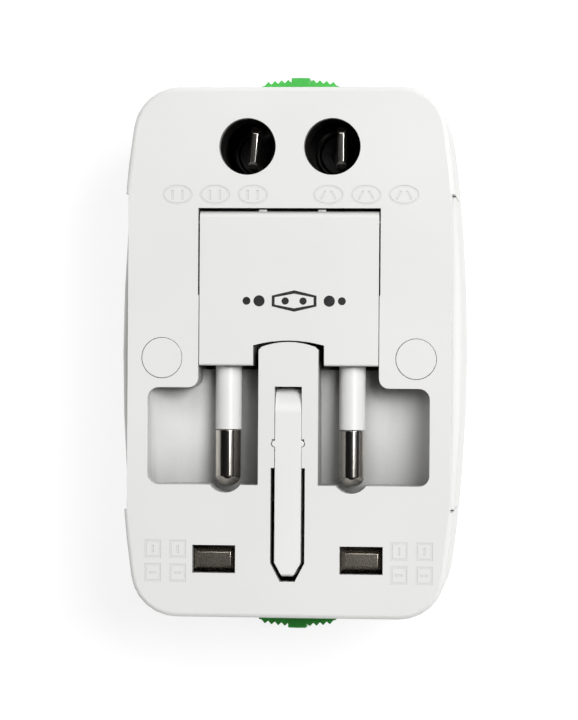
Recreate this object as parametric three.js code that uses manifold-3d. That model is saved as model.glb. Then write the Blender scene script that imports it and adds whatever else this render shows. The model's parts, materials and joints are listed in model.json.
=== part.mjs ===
// Universal travel adapter, closed and lying on its socket face.
// Millimetres. X is the width, Y the height, Z the depth: the socket face is at
// z = 0 and the plug face at z = DEPTH. The origin is the middle of the socket face.

import * as THREE from "three";
import { mergeVertices } from "three/addons/utils/BufferGeometryUtils.js";
import Module from "manifold-3d";

const wasm = await Module();
wasm.setup();

// ---- driving dimensions -------------------------------------------------------------

const DEPTH = 35;
const HALF_HEIGHT = 40;
const HALF_WIDTH = 26;
const SIDE_RADIUS = 260;
const CORNER_RADIUS = 7;
const WALL = 2;
const FACE_Z = DEPTH - WALL;
const PARTING_Z = 16;
const PARTING_GAP = 0.15;
const FACE_EDGE = 0.7;
const BASE_EDGE = 2.5;
const FLOOR = 2.2;

// Side grips: wings of the front shell that stand beside the rear shell.
const WING_HALF_LENGTH = 23.85;
const WING_INNER_X = 23.5;
const WING_TOP = 30.7;
const WING_EDGE = 2.2;
const REAR_SIDE_X = 24.4;
const REAR_SKIRT_X = 23.2;
const REAR_SKIRT_WALL = 1.6;

// Pockets of the plug face.
const POCKET_FLOOR = 26.7;
const POCKET_WALL = 1.3;
const RECESS_HALF_WIDTH = 21.3;
const RECESS_TOP = -5.35;
const RECESS_BOTTOM = -20;
const SCOOP_WIDTH = 7.6;
const SCOOP_EDGE = 2.5;
const SCOOP_SLOPE = 0.12;
const SHOULDER_RADIUS = 1.5;
const PIN_BAY_TOP = -2.5;

// Europe flap, hinged at its top edge.
const FLAP_HALF_WIDTH = 13.55;
const FLAP_BOTTOM = -2.03;
const FLAP_TOP = 21.3;
const FLAP_BACK = 27.3;
const FLAP_FACE = DEPTH - 0.05;
const FLAP_GAP = 0.1;
const FLAP_UPPER_GAP = 0.22;
const FLAP_GAP_STEP = 8.6;
const FLAP_TOP_GAP = 0.42;
const FLAP_AXIS = { y: 19.5, z: 33.2 };
const HINGE_ROD_RADIUS = 0.8;
const HINGE_HOLE_RADIUS = 1;
const EURO_PIN_X = 9.42;
const EURO_PIN_Z = 31;
const SLEEVE_RADIUS = 2;
const SLEEVE_END = -11.8;
const EURO_TIP_RADIUS = 1.92;
const EURO_PIN_END = -20.3;

// Fixed tongue between the Euro pins, which carries the folding earth pin.
const TONGUE_HALF_WIDTH = 4.52;
const TONGUE_TOP = 1.58;
const TONGUE_ARCH_RADIUS = 11.5;
const EARTH_AXIS = { y: -9.25, z: 31 };
const EARTH_HALF_WIDTH = 2;
const EARTH_HALF_DEPTH = 3.95;
const EARTH_TIP = -33.7;
const EARTH_TAPER = 2.05;
const EARTH_SLOT_TOP = -5.15;
const EARTH_SLOT_STEP = -17.4;
const EARTH_NUB = { y: -13.75, radius: 0.45, bottom: 34.72 };

// Sliding blade carriages. Stations are given retracted.
const BLADE_X = 6.4;
const BLADE_Y = 31;
const WELL_RADIUS = 4.27;
const US_BLADE = { width: 6.35, thickness: 1.5, top: 33.2, bottom: 8.4, chamfer: 0.5 };
const ROTOR = { radius: 4, top: 16.8, bottom: 7.2, neck: 2.1, end: 2.7 };
const ROTOR_LEFT_TURN = -5;
const BLADE_OFFSET = { left: 0.85, right: 1.25 };
const UK_PIN = { x: 11.13, y: -31.2, width: 6.35, height: 4, top: 34, bottom: 6, chamfer: 1 };
const UK_HOLE = { width: 6.5, height: 4.2 };
const SLIDER_BOTTOM = 4.2;
const US_SLIDER_TOP = 7;
const UK_BRIDGE_TOP = 6.3;
const UK_SLIDER_TOP = 13.9;
const KNOB = { bottom: 6, top: 16, halfWidth: 6.1, base: 40.3, crown: 43, radius: 33 };
const KNOB_RIBS = { bar: 1.45, barRise: 0.2, pitch: 1.05, depth: 0.55, count: 4 };
const STEM = { halfWidth: 2, bottom: 8, top: 13.6 };
const KNOB_SLOT = { halfWidth: 2.4, bottom: 7.5, top: 32.7 };

// Socket side.
const SOCKET = { halfWidth: 14.9, halfHeight: 19, face: 0.5, flange: 1.4, radius: 3 };
const LINE_Y = -11.1;
const EARTH_LINE_Y = 11.1;
const CONTACT_TOP = 20.8;
const SHEET = 0.6;
const BULKHEAD_TOP = 30.6;

// Case screws, driven from the plug face.
const SCREW = { x: 19.2, y: -0.9, head: 2.7, shank: 1.3, seat: 22, tip: 7 };
const CAP = { radius: 3.05, gap: 0.05, thickness: 1.8 };

// ---- tools --------------------------------------------------------------------------

const group = new THREE.Group();

function solid(geometry) {
  const bare = geometry.index ? geometry.toNonIndexed() : geometry.clone();
  bare.deleteAttribute("normal");
  bare.deleteAttribute("uv");
  const merged = mergeVertices(bare, 1e-4);
  const vertProperties = new Float32Array(merged.attributes.position.array);
  const triVerts = new Uint32Array(merged.index.array);
  const body = new wasm.Manifold(new wasm.Mesh({ numProp: 3, vertProperties, triVerts }));
  if (body.volume() > 0) return body;
  return new wasm.Manifold(new wasm.Mesh({ numProp: 3, vertProperties, triVerts: triVerts.reverse() }));
}

function geometryOf(manifold) {
  const mesh = manifold.getMesh();
  const geometry = new THREE.BufferGeometry();
  geometry.setAttribute("position", new THREE.BufferAttribute(mesh.vertProperties, 3));
  geometry.setIndex(new THREE.BufferAttribute(mesh.triVerts, 1));
  geometry.computeVertexNormals();
  return geometry;
}

function box(x0, x1, y0, y1, z0, z1) {
  const geometry = new THREE.BoxGeometry(x1 - x0, y1 - y0, z1 - z0);
  return solid(geometry.translate((x0 + x1) / 2, (y0 + y1) / 2, (z0 + z1) / 2));
}

function post(x, y, radius, z0, z1, sides = 24) {
  const geometry = new THREE.CylinderGeometry(radius, radius, z1 - z0, sides);
  return solid(geometry.rotateX(Math.PI / 2).translate(x, y, (z0 + z1) / 2));
}

function crossRod(axis, radius, x0, x1, sides = 24) {
  const geometry = new THREE.CylinderGeometry(radius, radius, x1 - x0, sides);
  return solid(geometry.rotateZ(Math.PI / 2).translate((x0 + x1) / 2, axis.y, axis.z));
}

// A closed outline from corners [x, y, radius]; a corner with a radius becomes an arc.
function outline(corners, steps = 5) {
  const points = [];
  corners.forEach(([x, y, radius = 0], i) => {
    const corner = new THREE.Vector2(x, y);
    const before = corners[(i + corners.length - 1) % corners.length];
    const after = corners[(i + 1) % corners.length];
    if (radius === 0) {
      points.push(corner);
      return;
    }
    const a = new THREE.Vector2(before[0], before[1]).sub(corner).normalize();
    const b = new THREE.Vector2(after[0], after[1]).sub(corner).normalize();
    const half = Math.acos(THREE.MathUtils.clamp(a.dot(b), -1, 1)) / 2;
    const centre = a.clone().add(b).normalize().multiplyScalar(radius / Math.sin(half)).add(corner);
    const from = a.multiplyScalar(radius / Math.tan(half)).add(corner).sub(centre).angle();
    const to = b.multiplyScalar(radius / Math.tan(half)).add(corner).sub(centre).angle();
    let turn = to - from;
    if (turn > Math.PI) turn -= 2 * Math.PI;
    if (turn < -Math.PI) turn += 2 * Math.PI;
    for (let k = 0; k <= steps; k += 1) {
      const angle = from + (turn * k) / steps;
      points.push(new THREE.Vector2(Math.cos(angle), Math.sin(angle)).multiplyScalar(radius).add(centre));
    }
  });
  return new THREE.Shape(points);
}

function prism(shape, z0, z1) {
  const geometry = new THREE.ExtrudeGeometry(shape, { depth: z1 - z0, bevelEnabled: false });
  return solid(geometry.translate(0, 0, z0));
}

// A shape drawn in Y and Z, extruded along X.
function prismX(shape, x0, x1) {
  const geometry = new THREE.ExtrudeGeometry(shape, { depth: x1 - x0, bevelEnabled: false });
  const basis = new THREE.Matrix4().makeBasis(
    new THREE.Vector3(0, 1, 0),
    new THREE.Vector3(0, 0, 1),
    new THREE.Vector3(1, 0, 0),
  );
  return solid(geometry.applyMatrix4(basis).translate(x0, 0, 0));
}

// A shape drawn in X and Z, extruded along Y.
function prismY(shape, y0, y1) {
  const geometry = new THREE.ExtrudeGeometry(shape, { depth: y1 - y0, bevelEnabled: false });
  const basis = new THREE.Matrix4().makeBasis(
    new THREE.Vector3(1, 0, 0),
    new THREE.Vector3(0, 0, 1),
    new THREE.Vector3(0, -1, 0),
  );
  return solid(geometry.applyMatrix4(basis).translate(0, y1, 0));
}

// A turned piece about +Z through x, y; the profile lists radius and z.
function turned(profile, x, y, sides = 28) {
  const points = profile.map(([radius, z]) => new THREE.Vector2(radius, z));
  const geometry = new THREE.LatheGeometry(points, sides);
  return solid(geometry.rotateX(Math.PI / 2).translate(x, y, 0));
}

function union(...solids) {
  return solids.reduce((whole, piece) => whole.add(piece));
}

function cut(whole, ...solids) {
  return solids.reduce((rest, piece) => rest.subtract(piece), whole);
}

function place(name, manifold, finish) {
  const mesh = new THREE.Mesh(geometryOf(manifold), new THREE.MeshStandardMaterial(finish));
  mesh.name = name;
  group.add(mesh);
}

const SHELL_WHITE = { color: 0xe8e8e6, roughness: 0.42, metalness: 0 };
const PIN_WHITE = { color: 0xf0f0ee, roughness: 0.38, metalness: 0 };
const KNOB_GREEN = { color: 0x2fa83a, roughness: 0.4, metalness: 0 };
const BLACK = { color: 0x17171a, roughness: 0.5, metalness: 0 };
const NICKEL = { color: 0xc9c2b6, roughness: 0.22, metalness: 1 };
const BRASS = { color: 0xc8a24c, roughness: 0.35, metalness: 1 };
const STEEL = { color: 0x9fa2a6, roughness: 0.35, metalness: 1 };
const SIDES = [["left", -1], ["right", 1]];

// ---- housing ------------------------------------------------------------------------

// The barrel outline: long bowed sides, flat ends, round corners.
function barrelOutline(inset) {
  const halfWidth = (y) => HALF_WIDTH - inset - (y * y) / (2 * SIDE_RADIUS);
  const top = HALF_HEIGHT - inset;
  const stations = [-28, -19, -9.5, 0, 9.5, 19, 28];
  const radius = CORNER_RADIUS - inset;
  const right = stations.map((y) => [halfWidth(y), y]);
  const left = stations.map((y) => [-halfWidth(y), -y]);
  const end = halfWidth(top);
  return outline([
    [end, -top, radius],
    ...right,
    [end, top, radius],
    [-end, top, radius],
    ...left,
    [-end, -top, radius],
  ], 6);
}

// A barrel whose two ends are rounded by the given edge.
function roundedBarrel(z0, z1, edge) {
  const geometry = new THREE.ExtrudeGeometry(barrelOutline(0), {
    depth: z1 - z0 - 2 * edge,
    bevelEnabled: true,
    bevelThickness: edge,
    bevelSize: edge,
    bevelOffset: -edge,
    bevelSegments: 4,
  });
  return solid(geometry.translate(0, 0, z0 + edge));
}

function knobSlots(z0, z1) {
  const reach = HALF_HEIGHT + 1;
  const inside = HALF_HEIGHT - WALL - 1;
  const x = KNOB_SLOT.halfWidth;
  return union(
    box(-x, x, inside, reach, z0, z1),
    box(-x, x, -reach, -inside, z0, z1),
  );
}

function tongueOutline() {
  const arch = [];
  for (let i = -4; i <= 4; i += 1) {
    const x = (-i / 4) * (TONGUE_HALF_WIDTH - 0.5);
    const drop = TONGUE_ARCH_RADIUS - Math.sqrt(TONGUE_ARCH_RADIUS ** 2 - x * x);
    arch.push([x, TONGUE_TOP - drop]);
  }
  const bottom = RECESS_BOTTOM - 1.5;
  return outline([
    [-TONGUE_HALF_WIDTH, bottom],
    [TONGUE_HALF_WIDTH, bottom],
    [TONGUE_HALF_WIDTH, 0.4],
    ...arch,
    [-TONGUE_HALF_WIDTH, 0.4],
  ]);
}

// The pocket is a little wider beside the upper half of the flap.
function flapPocket() {
  const lower = FLAP_HALF_WIDTH + FLAP_GAP;
  const upper = FLAP_HALF_WIDTH + FLAP_UPPER_GAP;
  const top = FLAP_TOP + FLAP_TOP_GAP;
  return union(
    box(-lower, lower, PIN_BAY_TOP - 0.1, FLAP_GAP_STEP + 1, POCKET_FLOOR, DEPTH + 1),
    box(-upper, upper, FLAP_GAP_STEP, top, POCKET_FLOOR, DEPTH + 1),
  );
}

// A finger recess: a scooped outer wall, a floor that deepens towards the pin tips and a
// rounded shoulder where it opens into the bay below the flap.
function fingerRecess(side) {
  const inner = 3 * side;
  const outer = RECESS_HALF_WIDTH * side;
  const bay = (FLAP_HALF_WIDTH + FLAP_GAP) * side;
  const depth = DEPTH - SCOOP_EDGE - POCKET_FLOOR;
  const profile = [[inner, DEPTH + 1], [inner, POCKET_FLOOR]];
  const steps = 7;
  for (let i = 0; i <= steps; i += 1) {
    const angle = (i / steps) * (Math.PI / 2);
    const x = RECESS_HALF_WIDTH - SCOOP_WIDTH + SCOOP_WIDTH * Math.sin(angle);
    profile.push([x * side, DEPTH - SCOOP_EDGE - depth * Math.cos(angle)]);
  }
  profile.push([outer, DEPTH + 1]);
  const slope = new THREE.Matrix4().makeShear(0, 0, 0, SCOOP_SLOPE, 0, 0);
  const level = prismY(outline(profile), RECESS_BOTTOM - 1, PIN_BAY_TOP + 1);
  const scoop = solid(geometryOf(level).applyMatrix4(slope).translate(0, 0, -SCOOP_SLOPE * RECESS_BOTTOM));
  const plan = outline([
    [inner, RECESS_BOTTOM],
    [outer, RECESS_BOTTOM, 1.6],
    [outer, RECESS_TOP, 1.6],
    [bay, RECESS_TOP, SHOULDER_RADIUS],
    [bay, PIN_BAY_TOP],
    [inner, PIN_BAY_TOP],
  ]);
  return scoop.intersect(prism(plan, POCKET_FLOOR - 1, DEPTH + 2));
}

// The slot of the folding earth pin. Its wide lower half is open to the inside.
function earthSlot() {
  const narrow = EARTH_HALF_WIDTH + 0.05;
  const wide = 2.585;
  const tip = 1.135;
  const upper = box(-narrow, narrow, EARTH_SLOT_STEP - 1, EARTH_SLOT_TOP, POCKET_FLOOR, DEPTH + 1);
  const lower = prism(outline([
    [-tip, -34.5],
    [tip, -34.5],
    [wide, -31.7],
    [wide, EARTH_SLOT_STEP],
    [-wide, EARTH_SLOT_STEP],
    [-wide, -31.7],
  ]), POCKET_FLOOR - POCKET_WALL - 1, DEPTH + 1);
  const nubs = SIDES.map(([, side]) => union(
    post(side * narrow, EARTH_NUB.y, EARTH_NUB.radius + 0.08, 34.5, DEPTH + 1, 16),
    box(side * narrow - 0.4, side * narrow + 0.4, EARTH_NUB.y, EARTH_NUB.y + 0.7, 34.5, DEPTH + 1),
  ));
  return union(upper, lower, ...nubs);
}

function rearShell() {
  const block = roundedBarrel(PARTING_Z - 5, DEPTH, FACE_EDGE);
  const outer = block.intersect(box(-40, 40, -60, 60, PARTING_Z + PARTING_GAP, DEPTH + 1));
  const sides = SIDES.flatMap(([, side]) => {
    const far = 30 * side;
    const skirt = REAR_SKIRT_X * side;
    const face = REAR_SIDE_X * side;
    const length = WING_HALF_LENGTH;
    return [
      box(Math.min(skirt, far), Math.max(skirt, far), -length, length, 0, WING_TOP + 0.3),
      box(Math.min(face, far), Math.max(face, far), -length, length, 0, DEPTH + 1),
    ];
  });
  const skirtInner = REAR_SKIRT_X - REAR_SKIRT_WALL;
  const skirtLength = WING_HALF_LENGTH + REAR_SKIRT_WALL;
  const solidParts = [
    box(skirtInner, 30, -skirtLength, skirtLength, 0, 50),
    box(-30, -skirtInner, -skirtLength, skirtLength, 0, 50),
    box(
      -FLAP_HALF_WIDTH - FLAP_GAP - POCKET_WALL,
      FLAP_HALF_WIDTH + FLAP_GAP + POCKET_WALL,
      RECESS_TOP - 2,
      FLAP_TOP + FLAP_TOP_GAP + POCKET_WALL,
      POCKET_FLOOR - POCKET_WALL,
      50,
    ),
    box(-22, 22, RECESS_BOTTOM - 2.6, RECESS_TOP + POCKET_WALL, POCKET_FLOOR - POCKET_WALL, 50),
    ...SIDES.map(([, side]) => post(side * SCREW.x, SCREW.y, SCREW.head + 1.2, PARTING_Z, 50)),
  ];
  const cavity = cut(prism(barrelOutline(WALL), 0, FACE_Z), ...solidParts);
  const pocket = cut(
    union(
      flapPocket(),
      ...SIDES.map(([, side]) => fingerRecess(side)),
      ...SIDES.map(([, side]) => post(side * 9.5, -18.35, 2.85, POCKET_FLOOR + 1.2, DEPTH + 1)),
    ),
    prism(tongueOutline(), 0, DEPTH + 2),
  );
  const wells = SIDES.map(([, side]) => post(side * BLADE_X, BLADE_Y, WELL_RADIUS, FACE_Z - 1, DEPTH + 1, 40));
  const pinHoles = SIDES.map(([, side]) => box(
    side * UK_PIN.x - UK_HOLE.width / 2,
    side * UK_PIN.x + UK_HOLE.width / 2,
    UK_PIN.y - UK_HOLE.height / 2,
    UK_PIN.y + UK_HOLE.height / 2,
    FACE_Z - 1,
    DEPTH + 1,
  ));
  const screwHoles = SIDES.map(([, side]) => union(
    post(side * SCREW.x, SCREW.y, CAP.radius + CAP.gap, SCREW.seat - 0.1, DEPTH + 1, 36),
    post(side * SCREW.x, SCREW.y, SCREW.shank + 0.3, PARTING_Z - 1, SCREW.seat),
  ));
  const tabs = SIDES.map(([, side]) => box(
    side * EURO_PIN_X - 1.5,
    side * EURO_PIN_X + 1.5,
    13.5,
    17.5,
    POCKET_FLOOR - 3,
    POCKET_FLOOR + 1,
  ));
  const ribRelief = box(-8, 8, FLAP_TOP, FLAP_TOP + 1, POCKET_FLOOR, DEPTH - 0.5);
  return cut(
    outer,
    cavity,
    ...sides,
    pocket,
    earthSlot(),
    ...wells,
    ...pinHoles,
    ...screwHoles,
    ...tabs,
    ribRelief,
    crossRod(FLAP_AXIS, HINGE_HOLE_RADIUS, -14.8, 14.8),
    crossRod(EARTH_AXIS, HINGE_HOLE_RADIUS, -TONGUE_HALF_WIDTH + 0.6, TONGUE_HALF_WIDTH - 0.6),
    knobSlots(PARTING_Z - 1, KNOB_SLOT.top),
  );
}

function frontShell() {
  const block = roundedBarrel(0, PARTING_Z + 10, BASE_EDGE);
  const tub = block.intersect(box(-40, 40, -60, 60, -1, PARTING_Z));
  const wings = SIDES.map(([, side]) => {
    const inner = WING_INNER_X * side;
    const length = WING_HALF_LENGTH - PARTING_GAP;
    const far = 30 * side;
    const slab = box(Math.min(inner, far), Math.max(inner, far), -length, length, PARTING_Z - 4, 40);
    return roundedBarrel(0, WING_TOP, WING_EDGE).intersect(slab);
  });
  const cavity = prism(barrelOutline(WALL), FLOOR, PARTING_Z + 1);
  const boss = SIDES.map(([, side]) => post(side * SCREW.x, SCREW.y, 2.7, 1, PARTING_Z - 0.2, 20));
  const pilot = SIDES.map(([, side]) => post(side * SCREW.x, SCREW.y, SCREW.shank + 0.25, 5, 20, 20));
  const opening = prism(outline([
    [SOCKET.halfWidth, -SOCKET.halfHeight, SOCKET.radius],
    [SOCKET.halfWidth, SOCKET.halfHeight, SOCKET.radius],
    [-SOCKET.halfWidth, SOCKET.halfHeight, SOCKET.radius],
    [-SOCKET.halfWidth, -SOCKET.halfHeight, SOCKET.radius],
  ]), -1, FLOOR + 1);
  const hollow = union(tub.subtract(cavity), ...wings, ...boss);
  return cut(hollow, opening, ...pilot, knobSlots(KNOB_SLOT.bottom, PARTING_Z + 1));
}

// The socket plate takes round, flat, slanted and rectangular pins.
function socketPlate() {
  const face = prism(outline([
    [SOCKET.halfWidth - 0.15, 0.15 - SOCKET.halfHeight, SOCKET.radius - 0.15],
    [SOCKET.halfWidth - 0.15, SOCKET.halfHeight - 0.15, SOCKET.radius - 0.15],
    [0.15 - SOCKET.halfWidth, SOCKET.halfHeight - 0.15, SOCKET.radius - 0.15],
    [0.15 - SOCKET.halfWidth, 0.15 - SOCKET.halfHeight, SOCKET.radius - 0.15],
  ]), SOCKET.face, FLOOR + 0.5);
  const edge = SOCKET.flange - 0.1;
  const flange = box(
    -SOCKET.halfWidth - edge,
    SOCKET.halfWidth + edge,
    -SOCKET.halfHeight - edge,
    SOCKET.halfHeight + edge,
    FLOOR + 0.1,
    FLOOR + 1.3,
  );
  const apertures = SIDES.map(([, side]) => {
    const x0 = Math.min(side * 7.6, side * 14.2);
    const x1 = Math.max(side * 7.6, side * 14.2);
    const slant = new THREE.BoxGeometry(1.9, 7.6, 8).rotateZ(side * THREE.MathUtils.degToRad(30));
    return union(
      box(x0, x1, LINE_Y - 2.3, LINE_Y + 2.3, -1, 5),
      post(side * 9.5, LINE_Y, 2.5, -1, 5),
      box(side * 6.35 - 0.95, side * 6.35 + 0.95, LINE_Y - 3.7, LINE_Y + 3.7, -1, 5),
      solid(slant.translate(side * 7.9, LINE_Y, 1)),
    );
  });
  const earth = box(-2.35, 2.35, EARTH_LINE_Y - 4.4, EARTH_LINE_Y + 4.4, -1, 5);
  return cut(union(face, flange), ...apertures, earth);
}

function screwCap(side) {
  return post(side * SCREW.x, SCREW.y, CAP.radius, DEPTH - CAP.thickness, DEPTH, 36);
}

function caseScrew(side) {
  const x = side * SCREW.x;
  const screw = union(
    post(x, SCREW.y, SCREW.head, SCREW.seat, SCREW.seat + 2),
    post(x, SCREW.y, SCREW.shank, SCREW.tip, SCREW.seat + 1, 16),
  );
  const top = SCREW.seat + 2;
  return cut(
    screw,
    box(x - 1.6, x + 1.6, SCREW.y - 0.35, SCREW.y + 0.35, top - 1, top + 1),
    box(x - 0.35, x + 0.35, SCREW.y - 1.6, SCREW.y + 1.6, top - 1, top + 1),
  );
}

// Black guide behind the two round wells. The blades stand off the middle of their rotors.
function bladeGuide() {
  const plate = box(-12, 12, 25.4, 36.2, 31, FACE_Z - 0.1);
  const tubes = SIDES.map(([, side]) => post(side * BLADE_X, BLADE_Y, 4.9, 25, 31.5, 40));
  const bores = SIDES.map(([, side]) => post(side * BLADE_X, BLADE_Y, 4.3, 20, 40, 40));
  return cut(union(plate, ...tubes), ...bores);
}

// ---- contacts inside ----------------------------------------------------------------

// A brass strip: a spring channel behind the socket, arms to both carriages and a flap tab.
function contactStrip(side) {
  const strip = (x0, x1, y0, y1, z0, z1) => box(
    Math.min(side * x0, side * x1),
    Math.max(side * x0, side * x1),
    y0,
    y1,
    z0,
    z1,
  );
  const base = CONTACT_TOP - SHEET;
  return union(
    strip(5.4, 14.4, LINE_Y - 3.4, LINE_Y - 3.4 + SHEET, 5, CONTACT_TOP),
    strip(5.4, 14.4, LINE_Y + 3.4 - SHEET, LINE_Y + 3.4, 5, CONTACT_TOP),
    strip(5.4, 14.4, LINE_Y - 3.4, LINE_Y + 3.4, base, CONTACT_TOP),
    strip(10.5, 14, -23.9, 23.9, base, CONTACT_TOP),
    strip(10.5, 14, 23.9 - SHEET, 23.9, 12, 31),
    strip(10.5, 14, -23.9, -23.9 + SHEET, 8, 24),
    strip(8.6, 14, 14.6, 16.4, base, CONTACT_TOP),
    strip(8.6, 10.2, 14.6, 14.6 + SHEET, base, POCKET_FLOOR - 0.3),
  );
}

// The carrier holds the two strips apart behind the flap pocket, between two bulkheads.
function contactFrame() {
  const plate = union(
    box(-14.6, 14.6, -19.5, 22.6, CONTACT_TOP + 0.3, CONTACT_TOP + 2.3),
    box(-9.6, 9.6, -24.2, 24.2, CONTACT_TOP + 0.3, CONTACT_TOP + 2.3),
    box(-9.6, 9.6, 23.2, 24.2, FLOOR + 1.8, BULKHEAD_TOP),
    box(-9.6, 9.6, -24.2, -23.2, FLOOR + 1.8, CONTACT_TOP + 2.3),
  );
  const windows = SIDES.map(([, side]) => box(
    side * EURO_PIN_X - 1.5,
    side * EURO_PIN_X + 1.5,
    13.5,
    17.5,
    CONTACT_TOP,
    CONTACT_TOP + 4,
  ));
  return cut(plate, ...windows);
}

// A leaf spring with a hump at each end of the carriage's travel.
function detentSpring(x, side, y0, y1) {
  const hump = (z) => [[x, z - 1.5], [x - 0.8 * side, z], [x, z + 1.5]];
  const face = [[x, 3], ...hump(7), ...hump(26), [x, 31]];
  const back = face.map(([px, z]) => [px + 0.5 * side, z]).reverse();
  return prismY(outline([...face, ...back]), y0, y1);
}

// ---- carriages ----------------------------------------------------------------------

function usSlider() {
  const plate = box(-12.3, 12.3, 25, 37.4, SLIDER_BOTTOM, US_SLIDER_TOP);
  const upstand = box(-5.5, 5.5, 36.3, 37.6, SLIDER_BOTTOM, STEM.top + 0.2);
  const bores = SIDES.map(([, side]) => post(side * BLADE_X, BLADE_Y, ROTOR.neck + 0.2, 0, 10));
  return cut(union(plate, upstand), ...bores);
}

function usRotor(side) {
  const profile = [
    [0, ROTOR.end],
    [ROTOR.neck, ROTOR.end],
    [ROTOR.neck, ROTOR.bottom],
    [ROTOR.radius, ROTOR.bottom],
    [ROTOR.radius, ROTOR.top - 0.4],
    [ROTOR.radius - 0.4, ROTOR.top],
    [3.3, ROTOR.top],
    [3, ROTOR.top - 0.7],
    [1.5, ROTOR.top - 0.7],
    [1.5, ROTOR.top - 2],
    [0, ROTOR.top - 2],
  ];
  return turned(profile, side * BLADE_X, BLADE_Y, 32);
}

function turnedAbout(manifold, side, degrees) {
  const angle = THREE.MathUtils.degToRad(degrees);
  const move = new THREE.Matrix4()
    .makeTranslation(side * BLADE_X, BLADE_Y, 0)
    .multiply(new THREE.Matrix4().makeRotationZ(angle))
    .multiply(new THREE.Matrix4().makeTranslation(-side * BLADE_X, -BLADE_Y, 0));
  return solid(geometryOf(manifold).applyMatrix4(move));
}

function bladeSlot(side, offset) {
  const x = side * BLADE_X + offset;
  const halfThickness = US_BLADE.thickness / 2 + 0.1;
  const halfWidth = US_BLADE.width / 2 + 0.1;
  return box(x - halfThickness, x + halfThickness, BLADE_Y - halfWidth, BLADE_Y + halfWidth,
    US_BLADE.bottom - 0.1, ROTOR.top + 1);
}

function usBlade(side, offset) {
  const x = side * BLADE_X + offset;
  const half = US_BLADE.width / 2;
  const thin = US_BLADE.thickness / 2;
  const { top, bottom, chamfer } = US_BLADE;
  const across = prismX(outline([
    [BLADE_Y - half, bottom],
    [BLADE_Y + half, bottom],
    [BLADE_Y + half, top - 2 * chamfer],
    [BLADE_Y + half - 2 * chamfer, top],
    [BLADE_Y - half + 2 * chamfer, top],
    [BLADE_Y - half, top - 2 * chamfer],
  ]), x - thin, x + thin);
  const along = prismY(outline([
    [x - thin, bottom - 1],
    [x + thin, bottom - 1],
    [x + thin, top - chamfer],
    [x + thin - 0.8 * chamfer, top + 0.01],
    [x - thin + 0.8 * chamfer, top + 0.01],
    [x - thin, top - chamfer],
  ]), BLADE_Y - half - 1, BLADE_Y + half + 1);
  return across.intersect(along);
}

function rotorClip(side) {
  const z = SLIDER_BOTTOM - 1;
  const ring = turned([
    [ROTOR.neck + 0.15, z],
    [3.6, z],
    [3.6, z + 0.7],
    [ROTOR.neck + 0.15, z + 0.7],
    [ROTOR.neck + 0.15, z],
  ], side * BLADE_X, BLADE_Y, 24);
  const mouth = side * BLADE_X + side * 2;
  return ring.subtract(box(Math.min(mouth, mouth + 3 * side), Math.max(mouth, mouth + 3 * side),
    BLADE_Y - 1.2, BLADE_Y + 1.2, 0, 6));
}

function ukSlider() {
  const bridge = box(-15.3, 15.3, -35.6, -25.2, SLIDER_BOTTOM, UK_BRIDGE_TOP);
  const pillars = SIDES.map(([, side]) => box(
    side * UK_PIN.x - 4.2,
    side * UK_PIN.x + 4.2,
    UK_PIN.y - 3.6,
    UK_PIN.y + 3.6,
    SLIDER_BOTTOM,
    UK_SLIDER_TOP,
  ));
  const upstand = box(-5.5, 5.5, -37.6, -36.3, SLIDER_BOTTOM, UK_SLIDER_TOP);
  const foot = box(-5.5, 5.5, -37.6, -35, SLIDER_BOTTOM, UK_BRIDGE_TOP);
  const sockets = SIDES.map(([, side]) => box(
    side * UK_PIN.x - UK_PIN.width / 2 - 0.1,
    side * UK_PIN.x + UK_PIN.width / 2 + 0.1,
    UK_PIN.y - UK_PIN.height / 2 - 0.1,
    UK_PIN.y + UK_PIN.height / 2 + 0.1,
    UK_PIN.bottom - 0.1,
    UK_SLIDER_TOP + 1,
  ));
  return cut(union(bridge, ...pillars, upstand, foot), ...sockets);
}

function ukPin(side) {
  const x = side * UK_PIN.x;
  const halfX = UK_PIN.width / 2;
  const halfY = UK_PIN.height / 2;
  const { top, bottom, chamfer } = UK_PIN;
  const along = prismX(outline([
    [UK_PIN.y - halfY, bottom],
    [UK_PIN.y + halfY, bottom],
    [UK_PIN.y + halfY, top - 1.6],
    [UK_PIN.y + halfY - chamfer, top],
    [UK_PIN.y - halfY + chamfer, top],
    [UK_PIN.y - halfY, top - 1.6],
  ]), x - halfX, x + halfX);
  const across = prismY(outline([
    [x - halfX, bottom - 1],
    [x + halfX, bottom - 1],
    [x + halfX, top - 1],
    [x + halfX - 0.7 * chamfer, top + 0.01],
    [x - halfX + 0.7 * chamfer, top + 0.01],
    [x - halfX, top - 1],
  ]), UK_PIN.y - halfY - 1, UK_PIN.y + halfY + 1);
  return along.intersect(across);
}

// A thumb knob: a crowned, ribbed pad outside the end wall and a stem through its slot.
function knob(end) {
  const crown = (x) => KNOB.crown - KNOB.radius + Math.sqrt(KNOB.radius ** 2 - x * x);
  const { bar, barRise, pitch, depth, count } = KNOB_RIBS;
  const half = [[0, crown(0) + barRise], [bar, crown(bar) + barRise]];
  for (let i = 0; i < count; i += 1) {
    const x = bar + pitch * i;
    half.push([x + 0.02, crown(x) - depth]);
    half.push([x + pitch / 2, crown(x + pitch / 2)]);
  }
  half.push([bar + pitch * count, crown(bar + pitch * count) - depth]);
  half.push([KNOB.halfWidth, crown(KNOB.halfWidth) - depth], [KNOB.halfWidth, KNOB.base]);
  const mirrored = half.slice(1).map(([x, y]) => [-x, y]);
  const points = [...half, ...mirrored.reverse()].map(([x, y]) => [x, y * end]);
  const pad = prism(outline(points), KNOB.bottom, KNOB.top);
  const stemY = [37.75 * end, (KNOB.base + 0.5) * end];
  const stem = box(-STEM.halfWidth, STEM.halfWidth, Math.min(...stemY), Math.max(...stemY),
    STEM.bottom, STEM.top);
  return union(pad, stem);
}

// ---- Europe flap --------------------------------------------------------------------

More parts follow.
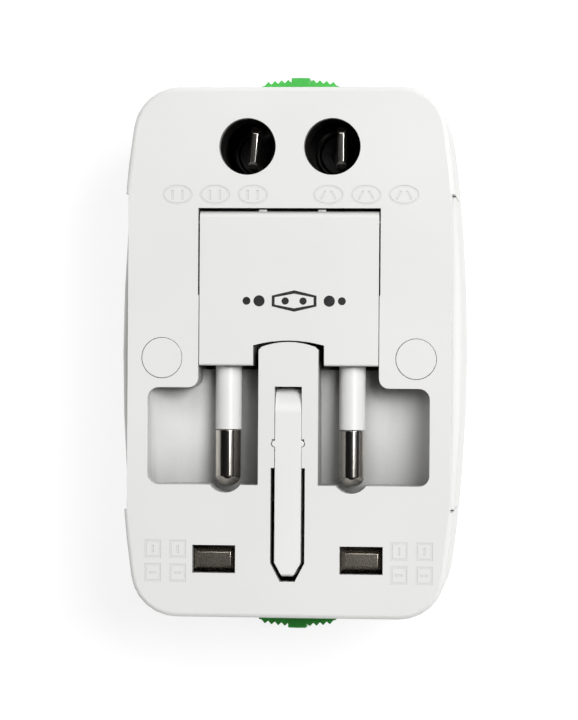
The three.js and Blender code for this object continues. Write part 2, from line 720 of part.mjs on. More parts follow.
function flapBlock() {
  const x = FLAP_HALF_WIDTH;
  const side = outline([
    [FLAP_BOTTOM, FLAP_BACK],
    [FLAP_TOP, FLAP_BACK, 1.5],
    [FLAP_TOP, FLAP_FACE, 1],
    [FLAP_BOTTOM, FLAP_FACE, 0.35],
  ]);
  const block = prismX(side, -x, x);
  const arch = [];
  for (let i = -4; i <= 4; i += 1) {
    const px = (-i / 4) * 5.35;
    arch.push([px, 1.78 - (20 - Math.sqrt(400 - px * px))]);
  }
  const notch = prism(outline([[-5.35, FLAP_BOTTOM - 1], [5.35, FLAP_BOTTOM - 1], ...arch]), 20, 40);
  const sweep = crossRod(FLAP_AXIS, 17, -7, 7, 96);
  const relief = box(-5.35, 5.35, FLAP_BOTTOM - 1, 6, 20, DEPTH - 2.5).subtract(sweep);
  const ribs = [-4.05, 4.9].map((px) => box(px - 0.6, px + 0.6, FLAP_TOP - 1, FLAP_TOP + 0.22,
    FLAP_AXIS.z, DEPTH - 0.65));
  return cut(
    union(block, ...ribs),
    notch,
    relief,
    crossRod(FLAP_AXIS, HINGE_HOLE_RADIUS, -15, 15),
    ...SIDES.map(([, s]) => pinPassage(s)),
  );
}

function turnedAlongY(profile, x) {
  const points = profile.map(([radius, y]) => new THREE.Vector2(radius, y));
  const geometry = new THREE.LatheGeometry(points, 24);
  return solid(geometry.translate(x, 0, EURO_PIN_Z));
}

function pinPassage(side) {
  return turnedAlongY([
    [0, FLAP_BOTTOM - 1],
    [SLEEVE_RADIUS + 0.08, FLAP_BOTTOM - 1],
    [SLEEVE_RADIUS + 0.08, 1.3],
    [1.45, 1.3],
    [1.45, 9.8],
    [2.5, 9.8],
    [2.5, 12.2],
    [0, 12.2],
  ], side * EURO_PIN_X);
}

function euroPin(side) {
  const profile = [];
  const steps = 6;
  for (let i = 0; i <= steps; i += 1) {
    const angle = (i / steps) * (Math.PI / 2);
    profile.push([
      EURO_TIP_RADIUS * Math.sin(angle),
      EURO_PIN_END + EURO_TIP_RADIUS * 0.85 * (1 - Math.cos(angle)),
    ]);
  }
  profile.push(
    [EURO_TIP_RADIUS, SLEEVE_END],
    [1.35, SLEEVE_END],
    [1.35, 10],
    [2.35, 10],
    [2.35, 12],
    [0, 12],
  );
  return turnedAlongY(profile, side * EURO_PIN_X);
}

function euroSleeve(side) {
  return turnedAlongY([
    [1.45, SLEEVE_END + 0.1],
    [SLEEVE_RADIUS, SLEEVE_END + 0.1],
    [SLEEVE_RADIUS, 1.2],
    [1.45, 1.2],
    [1.45, SLEEVE_END + 0.1],
  ], side * EURO_PIN_X);
}

// ---- folding earth pin --------------------------------------------------------------

function earthPin() {
  const { y, z } = EARTH_AXIS;
  const half = EARTH_HALF_DEPTH;
  const profile = [];
  const steps = 14;
  for (let i = 0; i <= steps; i += 1) {
    const angle = Math.PI / 2 - (i / steps) * Math.PI;
    profile.push([y + half * Math.cos(angle), z + half * Math.sin(angle)]);
  }
  profile.push(
    [EARTH_TIP + EARTH_TAPER, z - half],
    [EARTH_TIP, z - half + 1.3],
    [EARTH_TIP, z + half - 0.3],
    [EARTH_TIP + 0.3, z + half],
  );
  const side = prismX(outline(profile), -EARTH_HALF_WIDTH, EARTH_HALF_WIDTH);
  const tip = 0.87;
  const plan = prism(outline([
    [-tip, EARTH_TIP - 0.01],
    [tip, EARTH_TIP - 0.01],
    [EARTH_HALF_WIDTH, EARTH_TIP + EARTH_TAPER],
    [EARTH_HALF_WIDTH, 0],
    [-EARTH_HALF_WIDTH, 0],
    [-EARTH_HALF_WIDTH, EARTH_TIP + EARTH_TAPER],
  ]), 20, 40);
  const nubs = SIDES.map(([, s]) => post(s * EARTH_HALF_WIDTH, EARTH_NUB.y, EARTH_NUB.radius,
    EARTH_NUB.bottom, z + half, 16));
  return cut(
    union(side.intersect(plan), ...nubs),
    crossRod(EARTH_AXIS, HINGE_HOLE_RADIUS, -3, 3),
  );
}

// ---- assembly -----------------------------------------------------------------------

place("rear_shell", rearShell(), SHELL_WHITE);
place("front_shell", frontShell(), SHELL_WHITE);
place("socket_plate", socketPlate(), SHELL_WHITE);
place("blade_guide", bladeGuide(), BLACK);
place("contact_frame", contactFrame(), BLACK);
place("live_contact", contactStrip(-1), BRASS);
place("neutral_contact", contactStrip(1), BRASS);
place("us_detent_spring", detentSpring(14.2, 1, 27, 34), STEEL);
place("uk_detent_spring", detentSpring(16.6, 1, -34, -27), STEEL);
place("flap_hinge_rod", crossRod(FLAP_AXIS, HINGE_ROD_RADIUS, -14.6, 14.6), STEEL);
place("earth_hinge_rod", crossRod(EARTH_AXIS, HINGE_ROD_RADIUS, -3.7, 3.7), STEEL);
place("us_slider", usSlider(), BLACK);
place("us_knob", knob(1), KNOB_GREEN);
place("uk_slider", ukSlider(), BLACK);
place("uk_knob", knob(-1), KNOB_GREEN);
place("flap_front", flapBlock().intersect(box(-20, 20, -10, 30, EURO_PIN_Z + 0.05, 40)), SHELL_WHITE);
place("flap_back", flapBlock().intersect(box(-20, 20, -10, 30, 20, EURO_PIN_Z - 0.05)), SHELL_WHITE);
place("earth_pin", earthPin(), PIN_WHITE);

for (const [name, side] of SIDES) {
  const turn = side < 0 ? ROTOR_LEFT_TURN : 0;
  place(`case_screw_${name}`, caseScrew(side), STEEL);
  place(`screw_cap_${name}`, screwCap(side), SHELL_WHITE);
  const offset = BLADE_OFFSET[name];
  const rotor = usRotor(side).subtract(bladeSlot(side, offset));
  place(`us_rotor_${name}`, turnedAbout(rotor, side, turn), BLACK);
  place(`us_blade_${name}`, turnedAbout(usBlade(side, offset), side, turn), NICKEL);
  place(`rotor_clip_${name}`, rotorClip(side), STEEL);
  place(`uk_pin_${name}`, ukPin(side), NICKEL);
  place(`euro_pin_${name}`, euroPin(side), NICKEL);
  place(`euro_sleeve_${name}`, euroSleeve(side), PIN_WHITE);
}

export default group;
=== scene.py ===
"""Looks of the universal travel adapter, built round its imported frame.

The frame fixes every size and every joint. Each piece here is a finer version of one
frame node, with rounded mould edges and a finish of its own, in metres.
"""

import json
import math

import bmesh
import bpy
from mathutils import Matrix, Vector


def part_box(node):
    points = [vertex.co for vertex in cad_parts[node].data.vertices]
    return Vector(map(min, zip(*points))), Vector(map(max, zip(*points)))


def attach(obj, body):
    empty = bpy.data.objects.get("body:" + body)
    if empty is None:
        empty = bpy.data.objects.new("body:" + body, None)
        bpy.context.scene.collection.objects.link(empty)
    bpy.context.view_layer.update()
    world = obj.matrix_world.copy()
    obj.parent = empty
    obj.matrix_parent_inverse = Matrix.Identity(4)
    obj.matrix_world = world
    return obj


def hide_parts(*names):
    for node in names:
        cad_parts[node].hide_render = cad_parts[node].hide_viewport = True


bl_info = {
    "name": "Travel Adapter Looks",
    "version": (1, 0, 0),
    "blender": (4, 5, 0),
    "location": "3D View > Sidebar > Adapter",
    "description": "Builds the finished mouldings, metal and stage of a travel adapter",
    "category": "Add Mesh",
}

MM = 0.001
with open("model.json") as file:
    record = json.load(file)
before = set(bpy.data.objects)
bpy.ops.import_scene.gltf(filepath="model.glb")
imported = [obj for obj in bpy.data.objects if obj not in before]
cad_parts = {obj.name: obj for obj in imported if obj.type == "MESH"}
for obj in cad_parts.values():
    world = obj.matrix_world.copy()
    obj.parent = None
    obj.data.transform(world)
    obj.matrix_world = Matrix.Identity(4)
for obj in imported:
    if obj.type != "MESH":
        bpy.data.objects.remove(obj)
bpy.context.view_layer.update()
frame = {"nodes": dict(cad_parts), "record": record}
NODES = frame["nodes"]
BODY_OF = {
    node: body
    for body, members in frame["record"]["behaviour"]["bodies"].items()
    for node in members
}
SLOT_OF = {s["node"]: s["material_slot"] for s in frame["record"]["subparts"]}
FACE_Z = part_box("rear_shell")[1].z

# Mesh work: merging distance, the angle of an edge that is rounded, and of one that
# stays crisp where a mark is sunk.
WELD = 0.002 * MM
SHARP = math.radians(32)
CRISP = math.radians(60)

# How far the shell material looks for walls around it, within which painted shade darkens its
# colour.
PAINTED_SHADE_REACH = 9 * MM

# A Mix node's sockets share their names, so they are picked by place: A, B and result.
MIX_FLOAT = (2, 3, 0)
MIX_COLOUR = (6, 7, 2)

# Stage: lights by place and size, the floor, and the room's brightness by height.
KEY_PLACE, KEY_SIZE = (0.54, 0.28, 1.22), (0.50, 0.50)
TOP_PLACE, TOP_SIZE = (0.0, 0.70, 1.15), (0.60, 0.40)
FLOOR_HALF = 1.6
FLOOR_GLOW = 0.84
HORIZON, OVERHEAD, DARK_FROM = 0.8, 0.01, 0.4
VIEW_CENTRE = Vector((0.09 * MM, -1.13 * MM, FACE_Z))

# Pictograms: rows of blade marks as middle and turn of the blades, then the groups of
# four pin marks.
MARK_LINE = 0.3 * MM
BLADE_ROWS = ((-11.3 * MM, 0.0), (11.5 * MM, math.radians(28)))
BLADE_ROW_Y, BLADE_STEP = 23.7 * MM, 5.7 * MM
PIN_GROUPS = (-18.5 * MM, 18.7 * MM)
PIN_GROUP_Y, PIN_STEP_X, PIN_STEP_Y = -31.55 * MM, 1.9 * MM, 1.8 * MM


# ---- settings -------------------------------------------------------------------------


class AdapterSizes(bpy.types.PropertyGroup):
    mould_edge: bpy.props.FloatProperty(
        name="Mould edge",
        description="Radius that softens every sharp edge of the white mouldings",
        default=0.16 * MM,
        unit="LENGTH",
    )
    fine_edge: bpy.props.FloatProperty(
        name="Fine edge",
        description="Radius on the edges of small plastic pieces",
        default=0.12 * MM,
        unit="LENGTH",
    )
    metal_edge: bpy.props.FloatProperty(
        name="Metal edge",
        description="Radius on the edges of blades, pins and strips",
        default=0.08 * MM,
        unit="LENGTH",
    )
    mark_depth: bpy.props.FloatProperty(
        name="Mark depth",
        description="Depth of the moulded pin pictograms",
        default=0.08 * MM,
        unit="LENGTH",
    )


class AdapterColours(bpy.types.PropertyGroup):
    shell: bpy.props.FloatVectorProperty(
        name="Shell white",
        description="Colour of the two case shells and the flap",
        default=(0.80, 0.80, 0.785),
        subtype="COLOR",
        size=3,
    )
    pin_plastic: bpy.props.FloatVectorProperty(
        name="Pin white",
        description="Colour of the pin sleeves and the earth pin",
        default=(0.84, 0.84, 0.83),
        subtype="COLOR",
        size=3,
    )
    knob: bpy.props.FloatVectorProperty(
        name="Knob green",
        description="Colour of the two thumb knobs",
        default=(0.055, 0.46, 0.065),
        subtype="COLOR",
        size=3,
    )
    black: bpy.props.FloatVectorProperty(
        name="Inner black",
        description="Colour of the sliders, rotors and guides",
        default=(0.018, 0.016, 0.015),
        subtype="COLOR",
        size=3,
    )
    nickel: bpy.props.FloatVectorProperty(
        name="Nickel",
        description="Colour of the plated blades and pins",
        default=(0.66, 0.63, 0.58),
        subtype="COLOR",
        size=3,
    )


class AdapterStage(bpy.types.PropertyGroup):
    distance: bpy.props.FloatProperty(
        name="Camera distance",
        description="From the camera to the plug face",
        default=430 * MM,
        unit="LENGTH",
    )
    lean: bpy.props.FloatProperty(
        name="Camera lean",
        description="How far the camera leans to the right of the plug face's normal",
        default=math.radians(5.0),
        subtype="ANGLE",
    )
    roll: bpy.props.FloatProperty(
        name="Camera roll",
        description="Turn of the camera about its own axis",
        default=math.radians(0.37),
        subtype="ANGLE",
    )
    view_height: bpy.props.FloatProperty(
        name="View height",
        description="Height of the plug face's plane that fills the picture",
        default=108.3 * MM,
        unit="LENGTH",
    )
    key_power: bpy.props.FloatProperty(
        name="Key light",
        description="Power in watts of the large light high on the right",
        default=16.9,
    )
    top_power: bpy.props.FloatProperty(
        name="Top light",
        description="Power in watts of the weaker light beyond the top edge",
        default=3.2,
    )


# ---- materials ------------------------------------------------------------------------


class Finish:
    """A node material under construction, with Object coordinates ready."""

    def __init__(self, name):
        self.material = bpy.data.materials.new(name)
        self.material.use_nodes = True
        self.tree = self.material.node_tree
        self.shader = self.tree.nodes["Principled BSDF"]
        self.place = self.tree.nodes.new("ShaderNodeTexCoord").outputs["Object"]

    def link(self, output, socket):
        """Connects an output to a socket."""
        self.tree.links.new(output, socket)

    def set(self, **values):
        """Sets shader sockets by name, written in lower case with underscores."""
        for name, value in values.items():
            socket = name.replace("_", " ").title().replace("Ior", "IOR")
            self.shader.inputs[socket].default_value = value

    def stretched(self, scale):
        """Object coordinates with a scale of their own on each axis."""
        mapping = self.tree.nodes.new("ShaderNodeMapping")
        mapping.inputs["Scale"].default_value = scale
        self.link(self.place, mapping.inputs["Vector"])
        return mapping.outputs["Vector"]

    def noise(self, scale, detail=3.0, roughness=0.5, vector=None):
        """A noise factor over the piece, from 0 to 1."""
        node = self.tree.nodes.new("ShaderNodeTexNoise")
        node.inputs["Scale"].default_value = scale
        node.inputs["Detail"].default_value = detail
        node.inputs["Roughness"].default_value = roughness
        self.link(vector or self.place, node.inputs["Vector"])
        return node.outputs["Fac"]

    def ramp(self, factor, stops):
        """Colours a factor by stops of position and colour."""
        node = self.tree.nodes.new("ShaderNodeValToRGB")
        elements = node.color_ramp.elements
        while len(elements) < len(stops):
            elements.new(0.5)
        for element, (position, colour) in zip(elements, stops):
            element.position = position
            element.color = (*colour, 1.0)
        self.link(factor, node.inputs["Fac"])
        return node.outputs["Color"]

    def span(self, factor, low, high):
        """Spreads a factor between two values."""
        node = self.tree.nodes.new("ShaderNodeMapRange")
        node.inputs["To Min"].default_value = low
        node.inputs["To Max"].default_value = high
        self.link(factor, node.inputs["Value"])
        return node.outputs["Result"]

    def mixed(self, first, second, factor=0.5):
        """Blends two factors."""
        a, b, result = MIX_FLOAT
        node = self.tree.nodes.new("ShaderNodeMix")
        node.inputs["Factor"].default_value = factor
        self.link(first, node.inputs[a])
        self.link(second, node.inputs[b])
        return node.outputs[result]

    def painted_hollow_shade(self, tone, distance, darkest_shade):
        """Paints shade into a tone inside pockets and gaps: ambient occlusion darkens the
        colour where walls stand near.
        """
        occlusion = self.tree.nodes.new("ShaderNodeAmbientOcclusion")
        occlusion.samples = 6
        occlusion.inputs["Distance"].default_value = distance
        # Painted shade: the colour falls to the darkest tone where ambient occlusion finds
        # walls near.
        stops = [(0.15, (darkest_shade, darkest_shade, darkest_shade)), (0.85, (1.0, 1.0, 1.0))]
        shade = self.ramp(occlusion.outputs["AO"], stops)
        a, b, result = MIX_COLOUR
        node = self.tree.nodes.new("ShaderNodeMix")
        node.data_type = "RGBA"
        node.blend_type = "MULTIPLY"
        node.inputs["Factor"].default_value = 1.0
        self.link(tone, node.inputs[a])
        self.link(shade, node.inputs[b])
        return node.outputs[result]

    def bump(self, height, distance):
        """Gives the surface a relief of the given depth."""
        node = self.tree.nodes.new("ShaderNodeBump")
        node.inputs["Distance"].default_value = distance
        self.link(height, node.inputs["Height"])
        self.link(node.outputs["Normal"], self.shader.inputs["Normal"])


def shaded(colour, factor):
    """A colour made darker or lighter by a factor."""
    return tuple(c * factor for c in colour)


def moulded_plastic(name, colour, roughness, grain, blush=0.03, darkest_shade=1.0):
    """Spark-eroded mouldings: a fine grain, a slow drift of tone and of gloss, and painted
    shade in pockets and gaps when the darkest shade is set below 1.
    """
    finish = Finish(name)
    drift = finish.noise(38.0, 4.0)
    stops = [(0.3, shaded(colour, 1 - blush)), (0.7, shaded(colour, 1 + blush / 2))]
    tone = finish.ramp(drift, stops)
    # Painted shade: the tone darkens in pockets and gaps found by ambient occlusion.
    if darkest_shade < 1.0:
        tone = finish.painted_hollow_shade(tone, PAINTED_SHADE_REACH, darkest_shade)
    finish.link(tone, finish.shader.inputs["Base Color"])
    gloss = finish.noise(900.0, 5.0, 0.6)
    sheen = finish.span(gloss, roughness - 0.07, roughness + 0.07)
    finish.link(sheen, finish.shader.inputs["Roughness"])
    fine = finish.noise(7500.0, 3.0, 0.55)
    coarse = finish.noise(1600.0, 2.0)
    finish.bump(finish.mixed(fine, coarse, 0.35), grain)
    finish.set(specular_ior_level=0.45)
    return finish.material


def plated_metal(name, colour, roughness, along=(60.0, 60.0, 1.0), scratch=0.004 * MM):
    """Plated and polished metal with drawn lines, faint tarnish and rub marks."""
    finish = Finish(name)
    drift = finish.noise(260.0, 5.0, 0.6)
    stops = [(0.25, shaded(colour, 0.82)), (0.6, colour), (0.8, shaded(colour, 1.08))]
    tone = finish.ramp(drift, stops)
    finish.link(tone, finish.shader.inputs["Base Color"])
    lines = finish.noise(130.0, 4.0, 0.6, finish.stretched(along))
    polish = finish.span(lines, roughness * 0.65, roughness * 1.5)
    finish.link(polish, finish.shader.inputs["Roughness"])
    finish.bump(finish.mixed(lines, drift, 0.3), scratch)
    finish.shader.inputs["Metallic"].default_value = 1.0
    return finish.material


def printed_ink(name):
    """Pad-printed black ink: slightly broken tone, more gloss than the plastic."""
    finish = Finish(name)
    patch = finish.noise(2500.0, 4.0)
    tone = finish.ramp(patch, [(0.3, (0.006, 0.006, 0.006)), (0.75, (0.016, 0.016, 0.017))])
    finish.link(tone, finish.shader.inputs["Base Color"])
    finish.link(finish.span(patch, 0.28, 0.45), finish.shader.inputs["Roughness"])
    finish.bump(patch, 0.004 * MM)
    return finish.material


def pale_floor(name):
    """A white light table: a matt, glowing surface with a very faint mottle."""
    finish = Finish(name)
    stops = [(0.3, (0.21, 0.21, 0.21)), (0.7, (0.23, 0.23, 0.23))]
    tone = finish.ramp(finish.noise(9.0), stops)
    finish.link(tone, finish.shader.inputs["Base Color"])
    finish.set(roughness=0.85, emission_strength=FLOOR_GLOW)
    finish.shader.inputs["Emission Color"].default_value = (1.0, 1.0, 1.0, 1.0)
    return finish.material


def make_finishes(colours):
    """Every finish, named for the slot or the piece that wears it."""
    # The shell white gets painted shade in its pockets and gaps, down to 0.3 of its colour.
    moulded_plastic("shell_white_finish", tuple(colours.shell), 0.42, 0.006 * MM, darkest_shade=0.3)
    moulded_plastic("pin_white_finish", tuple(colours.pin_plastic), 0.36, 0.003 * MM)
    moulded_plastic("knob_green_finish", tuple(colours.knob), 0.34, 0.004 * MM, blush=0.08)
    moulded_plastic("inner_black_finish", tuple(colours.black), 0.38, 0.008 * MM, blush=0.15)
    plated_metal("nickel_finish", tuple(colours.nickel), 0.16)
    plated_metal("nickel_across_finish", tuple(colours.nickel), 0.14, (60.0, 1.0, 60.0))
    plated_metal("nickel_worn_finish", (0.50, 0.45, 0.39), 0.24, scratch=0.008 * MM)
    plated_metal("brass_finish", (0.66, 0.44, 0.15), 0.3)
    plated_metal("spring_steel_finish", (0.45, 0.46, 0.48), 0.3)
    printed_ink("black_ink_finish")


# ---- mesh work ------------------------------------------------------------------------


def finished(name, bm, body, material, smooth=True):
    """Turns a bmesh into a piece that rides on a body."""
    mesh = bpy.data.meshes.new(name)
    for face in bm.faces:
        face.smooth = smooth
    bm.to_mesh(mesh)
    bm.free()
    piece = bpy.data.objects.new(name, mesh)
    bpy.context.scene.collection.objects.link(piece)
    piece.data.materials.append(bpy.data.materials[f"{material}_finish"])
    weighted = piece.modifiers.new("Even shading", "WEIGHTED_NORMAL")
    weighted.keep_sharp = True
    weighted.weight = 60
    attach(piece, body)
    return piece


def frame_copy(node):
    """A merged copy of a frame node, with its flat regions joined into whole faces."""
    bm = bmesh.new()
    bm.from_mesh(NODES[node].data)
    bmesh.ops.remove_doubles(bm, verts=bm.verts, dist=WELD)
    bmesh.ops.dissolve_degenerate(bm, edges=bm.edges, dist=WELD)
    bmesh.ops.dissolve_limit(
        bm,
        angle_limit=math.radians(0.8),
        use_dissolve_boundaries=False,
        verts=bm.verts,
        edges=bm.edges,
        delimit={"NORMAL"},
    )
    return bm


def soften(bm, radius):
    """Rounds every sharp edge."""
    edges = [e for e in bm.edges if len(e.link_faces) == 2 and e.calc_face_angle(0) > SHARP]
    bmesh.ops.bevel(
        bm,
        geom=edges,
        offset=radius,
        offset_type="OFFSET",
        segments=2,
        profile=0.5,
        affect="EDGES",
        clamp_overlap=True,
        loop_slide=True,
        material=-1,
    )


def engraved(bm, marks):
    """Sinks shallow marks into a mesh and gives the mesh back."""
    tools = []
    for name, source in (("body", bm), ("marks", marks)):
        mesh = bpy.data.meshes.new(name)
        source.to_mesh(mesh)
        source.free()
        tools.append(bpy.data.objects.new(name, mesh))
        bpy.context.scene.collection.objects.link(tools[-1])
    cut = tools[0].modifiers.new("Marks", "BOOLEAN")
    cut.operation = "DIFFERENCE"
    cut.solver = "EXACT"
    cut.object = tools[1]
    state = bpy.context.evaluated_depsgraph_get()
    result = bpy.data.meshes.new_from_object(tools[0].evaluated_get(state))
    sunk = bmesh.new()
    sunk.from_mesh(result)
    for edge in sunk.edges:
        edge.smooth = edge.calc_face_angle(0) < CRISP
    bpy.data.meshes.remove(result)
    for tool in tools:
        bpy.data.meshes.remove(tool.data)
    return sunk


def refine(node, radius, material=None, marks=None):
    """Replaces a frame node by its own shape with rounded edges and a finish."""
    bm = frame_copy(node)
    soften(bm, radius)
    if marks is not None:
        bm = engraved(bm, marks)
    slot = SLOT_OF[node]
    piece = finished(f"{node}_moulding", bm, BODY_OF[node], material or slot)
    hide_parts(node)
    return piece


# ---- pictograms -----------------------------------------------------------------------


def moved(x, y, z, turn=0.0):
    """A place, with a turn about the axis that leaves the face."""
    return Matrix.Translation((x, y, z)) @ Matrix.Rotation(turn, 4, "Z")


def ring(bm, x, y, half_x, half_y, stroke, low, high, sides=28):
    """An oval ring, or with four sides a square frame, standing between two heights."""
    first = math.pi / sides if sides == 4 else 0.0
    reach = 1 / math.cos(first)
    loops = []
    for inset in (0.0, stroke):
        turned = moved(0, 0, 0, first)
        made = bmesh.ops.create_circle(bm, radius=reach, segments=sides, matrix=turned)
        bmesh.ops.scale(bm, vec=(half_x - inset, half_y - inset, 1.0), verts=made["verts"])
        bmesh.ops.translate(bm, vec=(x, y, low), verts=made["verts"])
        loops += {edge for vert in made["verts"] for edge in vert.link_edges}
    flat = bmesh.ops.bridge_loops(bm, edges=loops)["faces"]
    raise_faces(bm, flat, high - low)


def raise_faces(bm, flat, height):
    """Makes a closed block from flat faces."""
    wall = bmesh.ops.extrude_face_region(bm, geom=flat, use_keep_orig=True)["geom"]
    top = [part for part in wall if isinstance(part, bmesh.types.BMVert)]
    bmesh.ops.translate(bm, vec=(0, 0, height), verts=top)
    bmesh.ops.recalc_face_normals(bm, faces=bm.faces)


def bar(bm, x, y, half_x, half_y, low, high, turn=0.0):
    """A rectangular block standing between two heights."""
    size = Matrix.Diagonal((2 * half_x, 2 * half_y, high - low, 1.0))
    bmesh.ops.create_cube(bm, size=1.0, matrix=moved(x, y, (low + high) / 2, turn) @ size)


def dot(bm, x, y, radius, low, high):
    """A round block standing between two heights."""
    bmesh.ops.create_cone(
        bm,
        cap_ends=True,
        segments=16,
        radius1=radius,
        radius2=radius,
        depth=high - low,
        matrix=moved(x, y, (low + high) / 2),
    )


def blade_mark(bm, x, y, slant, low, high):
    """Two blades in an oval, leaning towards each other by the given angle."""
    ring(bm, x, y, 2.3 * MM, 1.5 * MM, MARK_LINE, low, high)
    for side in (-1, 1):
        bar(bm, x + side * 0.75 * MM, y, 0.16 * MM, 0.7 * MM, low, high, side * slant)


def pin_mark(bm, x, y, upright, low, high):
    """One rectangular pin in a frame, standing up or lying down."""
    ring(bm, x, y, 1.25 * MM, 1.35 * MM, MARK_LINE, low, high, 4)
    thin, long = 0.16 * MM, 0.55 * MM
    half_x, half_y = (thin, long) if upright else (long, thin)
    bar(bm, x, y, half_x, half_y, low, high)


def case_marks(depth):
    """Cutters for the pin pictograms beside the wells and the lower pin holes."""
    bm = bmesh.new()
    low, high = FACE_Z - depth, FACE_Z + depth
    for middle, slant in BLADE_ROWS:
        for step in (-1, 0, 1):
            blade_mark(bm, middle + step * BLADE_STEP, BLADE_ROW_Y, slant, low, high)
    for middle in PIN_GROUPS:
        for step_x in (-1, 1):
            for step_y in (-1, 1):
                x = middle + step_x * PIN_STEP_X
                y = PIN_GROUP_Y + step_y * PIN_STEP_Y
                pin_mark(bm, x, y, step_y > 0, low, high)
    return bm


def flap_print():
    """The printed sign of the round-pin plug: its six-sided face between pairs of dots."""
    bm = bmesh.new()
    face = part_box("flap_front")[1].z
    low, high = face - 0.02 * MM, face + 0.025 * MM
    x, y = 0.8 * MM, 7.75 * MM
    ring(bm, x, y, 3.9 * MM, 1.61 * MM, 0.5 * MM, low, high, 6)
    for side in (-1, 1):
        for place, radius in ((1.35, 0.55), (5.3, 0.85), (7.2, 0.6)):
            dot(bm, x + side * place * MM, y, radius * MM, low, high)
    return bm


# ---- operators ------------------------------------------------------------------------


class ADAPTER_OT_case(bpy.types.Operator):
    """Make the two case shells, the socket plate and the screw covers"""

    bl_idname = "adapter.case"
    bl_label = "Case"

    def execute(self, context):
        sizes = context.scene.adapter_sizes
        refine("rear_shell", sizes.mould_edge, marks=case_marks(sizes.mark_depth))
        refine("front_shell", sizes.mould_edge)
        refine("socket_plate", sizes.mould_edge)
        for side in ("left", "right"):
            refine(f"screw_cap_{side}", sizes.fine_edge)
        return {"FINISHED"}


class ADAPTER_OT_flap(bpy.types.Operator):
    """Make the round-pin flap with its pins and sleeves"""

    bl_idname = "adapter.flap"
    bl_label = "Round-pin flap"

    def execute(self, context):
        sizes = context.scene.adapter_sizes
        refine("flap_front", sizes.mould_edge)
        body = BODY_OF["flap_front"]
        finished("flap_sign", flap_print(), body, "black_ink", smooth=False)
        refine("flap_back", sizes.mould_edge)
        for side in ("left", "right"):
            refine(f"euro_pin_{side}", sizes.metal_edge, "nickel_across")
            refine(f"euro_sleeve_{side}", sizes.fine_edge)
        return {"FINISHED"}


class ADAPTER_OT_earth_pin(bpy.types.Operator):
    """Make the folding earth pin"""

    bl_idname = "adapter.earth_pin"
    bl_label = "Earth pin"

    def execute(self, context):
        refine("earth_pin", context.scene.adapter_sizes.mould_edge)
        return {"FINISHED"}


class ADAPTER_OT_carriages(bpy.types.Operator):
    """Make the sliding carriages with their blades, pins and knobs"""

    bl_idname = "adapter.carriages"
    bl_label = "Sliding carriages"

    def execute(self, context):
        sizes = context.scene.adapter_sizes
        for node in ("us_slider", "uk_slider", "us_knob", "uk_knob"):
            refine(node, sizes.fine_edge)
        for side in ("left", "right"):
            refine(f"us_rotor_{side}", sizes.fine_edge)
            refine(f"us_blade_{side}", sizes.metal_edge)
            refine(f"rotor_clip_{side}", sizes.metal_edge)
            refine(f"uk_pin_{side}", sizes.metal_edge, "nickel_worn")
        return {"FINISHED"}


class ADAPTER_OT_inside(bpy.types.Operator):
    """Make the guides, contacts, springs, rods and screws inside"""

    bl_idname = "adapter.inside"
    bl_label = "Inside"

    def execute(self, context):
        sizes = context.scene.adapter_sizes
        for node in ("blade_guide", "contact_frame"):
            refine(node, sizes.fine_edge)
        for node in (
            "live_contact",
            "neutral_contact",
            "us_detent_spring",
            "uk_detent_spring",
            "flap_hinge_rod",
            "earth_hinge_rod",
            "case_screw_left",
            "case_screw_right",
        ):
            refine(node, sizes.metal_edge)
        return {"FINISHED"}


def area_light(name, place, size, power):
    """Adds a rectangular light that faces the middle of the plug face."""
    data = bpy.data.lights.new(name, "AREA")
    data.shape = "RECTANGLE"
    data.size, data.size_y = size
    data.energy = power
    light = bpy.data.objects.new(name, data)
    light.location = place
    aim = Vector((0.0, 0.0, FACE_Z)) - Vector(place)
    light.rotation_euler = aim.to_track_quat("-Z", "Y").to_euler()
    bpy.context.scene.collection.objects.link(light)


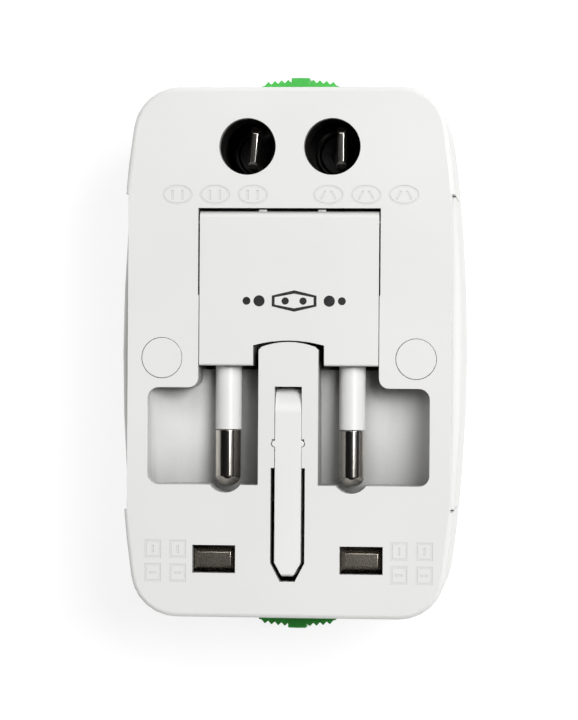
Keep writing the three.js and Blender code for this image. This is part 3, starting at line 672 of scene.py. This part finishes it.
class ADAPTER_OT_stage(bpy.types.Operator):
    """Make the floor, the lights and the camera"""

    bl_idname = "adapter.stage"
    bl_label = "Stage"

    def execute(self, context):
        stage = context.scene.adapter_stage
        self.floor()
        self.lights(stage)
        self.surroundings()
        self.camera(stage)
        return {"FINISHED"}

    def floor(self):
        """A flat white table under the piece."""
        bm = bmesh.new()
        bmesh.ops.create_grid(bm, x_segments=2, y_segments=2, size=FLOOR_HALF)
        mesh = bpy.data.meshes.new("floor")
        bm.to_mesh(mesh)
        bm.free()
        floor = bpy.data.objects.new("floor", mesh)
        floor.data.materials.append(pale_floor("pale_floor"))
        bpy.context.scene.collection.objects.link(floor)

    def lights(self, stage):
        """A large key light on the right and a weaker one beyond the top edge."""
        area_light("key", KEY_PLACE, KEY_SIZE, stage.key_power)
        area_light("top", TOP_PLACE, TOP_SIZE, stage.top_power)
        bpy.context.scene.view_settings.view_transform = "Standard"

    def surroundings(self):
        """A room with a pale horizon, dark overhead, so that metal facing up stays dark."""
        world = bpy.context.scene.world or bpy.data.worlds.new("World")
        bpy.context.scene.world = world
        world.use_nodes = True
        tree = world.node_tree
        direction = tree.nodes.new("ShaderNodeTexCoord").outputs["Generated"]
        parts = tree.nodes.new("ShaderNodeSeparateXYZ")
        tree.links.new(direction, parts.inputs["Vector"])
        height = tree.nodes.new("ShaderNodeMapRange")
        height.inputs["From Min"].default_value = 0.0
        height.inputs["From Max"].default_value = DARK_FROM
        height.inputs["To Min"].default_value = HORIZON
        height.inputs["To Max"].default_value = OVERHEAD
        tree.links.new(parts.outputs["Z"], height.inputs["Value"])
        background = tree.nodes["Background"]
        background.inputs["Color"].default_value = (1.0, 1.0, 1.0, 1.0)
        tree.links.new(height.outputs["Result"], background.inputs["Strength"])

    def camera(self, stage):
        """Looks at the plug face from a little to the right of its normal."""
        data = bpy.data.cameras.new("camera")
        camera = bpy.data.objects.new("camera", data)
        bpy.context.scene.collection.objects.link(camera)
        bpy.context.scene.camera = camera
        back = Vector((math.sin(stage.lean), 0.0, math.cos(stage.lean)))
        right = Vector((0.0, 1.0, 0.0)).cross(back).normalized()
        turn = Matrix((right, back.cross(right), back)).transposed()
        camera.matrix_world = (
            Matrix.Translation(VIEW_CENTRE + back * stage.distance)
            @ turn.to_4x4()
            @ Matrix.Rotation(stage.roll, 4, "Z")
        )
        data.sensor_width = 36.0
        data.lens = data.sensor_width * stage.distance / stage.view_height
        data.clip_start = 0.01


class ADAPTER_PT_panel(bpy.types.Panel):
    """Lists the adapter's pieces"""

    bl_idname = "ADAPTER_PT_panel"
    bl_label = "Travel adapter"
    bl_space_type = "VIEW_3D"
    bl_region_type = "UI"
    bl_category = "Adapter"

    def draw(self, context):
        for operator in OPERATORS:
            self.layout.operator(operator.bl_idname)
        scene = context.scene
        for group in (scene.adapter_sizes, scene.adapter_colours, scene.adapter_stage):
            for name in group.__annotations__:
                self.layout.prop(group, name)


OPERATORS = (
    ADAPTER_OT_stage,
    ADAPTER_OT_case,
    ADAPTER_OT_flap,
    ADAPTER_OT_earth_pin,
    ADAPTER_OT_carriages,
    ADAPTER_OT_inside,
)
GROUPS = {
    "adapter_sizes": AdapterSizes,
    "adapter_colours": AdapterColours,
    "adapter_stage": AdapterStage,
}


def register():
    """Registers the settings, the operators and the panel."""
    for cls in (*GROUPS.values(), *OPERATORS, ADAPTER_PT_panel):
        bpy.utils.register_class(cls)
    for name, cls in GROUPS.items():
        setattr(bpy.types.Scene, name, bpy.props.PointerProperty(type=cls))


def unregister():
    """Takes back what register() did."""
    for name in GROUPS:
        delattr(bpy.types.Scene, name)
    for cls in (ADAPTER_PT_panel, *reversed(OPERATORS), *GROUPS.values()):
        bpy.utils.unregister_class(cls)


def main():
    """Builds the whole scene."""
    register()
    make_finishes(bpy.context.scene.adapter_colours)
    for operator in OPERATORS:
        group, name = operator.bl_idname.split(".")
        getattr(getattr(bpy.ops, group), name)()


if __name__ == "__main__":
    main()
